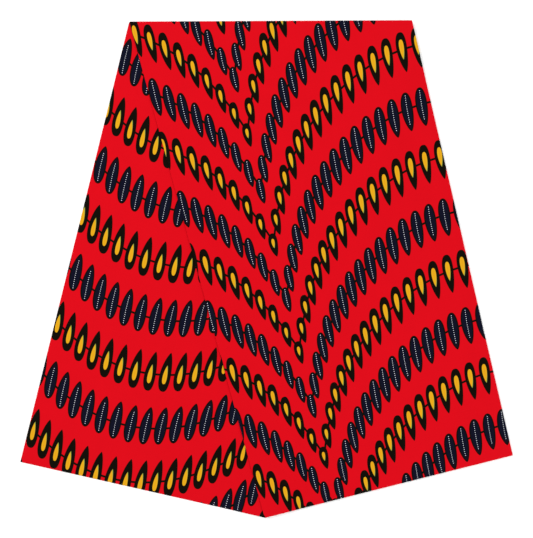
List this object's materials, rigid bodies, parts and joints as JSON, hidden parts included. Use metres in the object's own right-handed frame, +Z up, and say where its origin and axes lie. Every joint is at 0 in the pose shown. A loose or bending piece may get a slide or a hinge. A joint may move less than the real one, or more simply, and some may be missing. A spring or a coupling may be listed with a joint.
{
  "type": "wax print fabric",
  "caption": "Cotton cloth with an all-over wax print, doubled lengthwise and folded to and fro into a flat fanned bundle, straight at the top and pointed below, for sewing or a shop display.",
  "frame": {"origin": "on the surface that the bundle lies on, under the middle of its outline", "axes": "+Z up through the folded cloth, +Y towards the straight fold, +X towards the front panel's free end"},
  "size_m": [1.0737, 1.084, 0.0118],
  "materials": {
    "printed_cotton": "matte plain-weave cotton, red, with rows of black-edged yellow and navy leaves"
  },
  "bodies": {
    "root": {"front_panel": "printed_cotton", "back_panel": "printed_cotton", "inner_layers": "printed_cotton"}
  },
  "joints": []
}
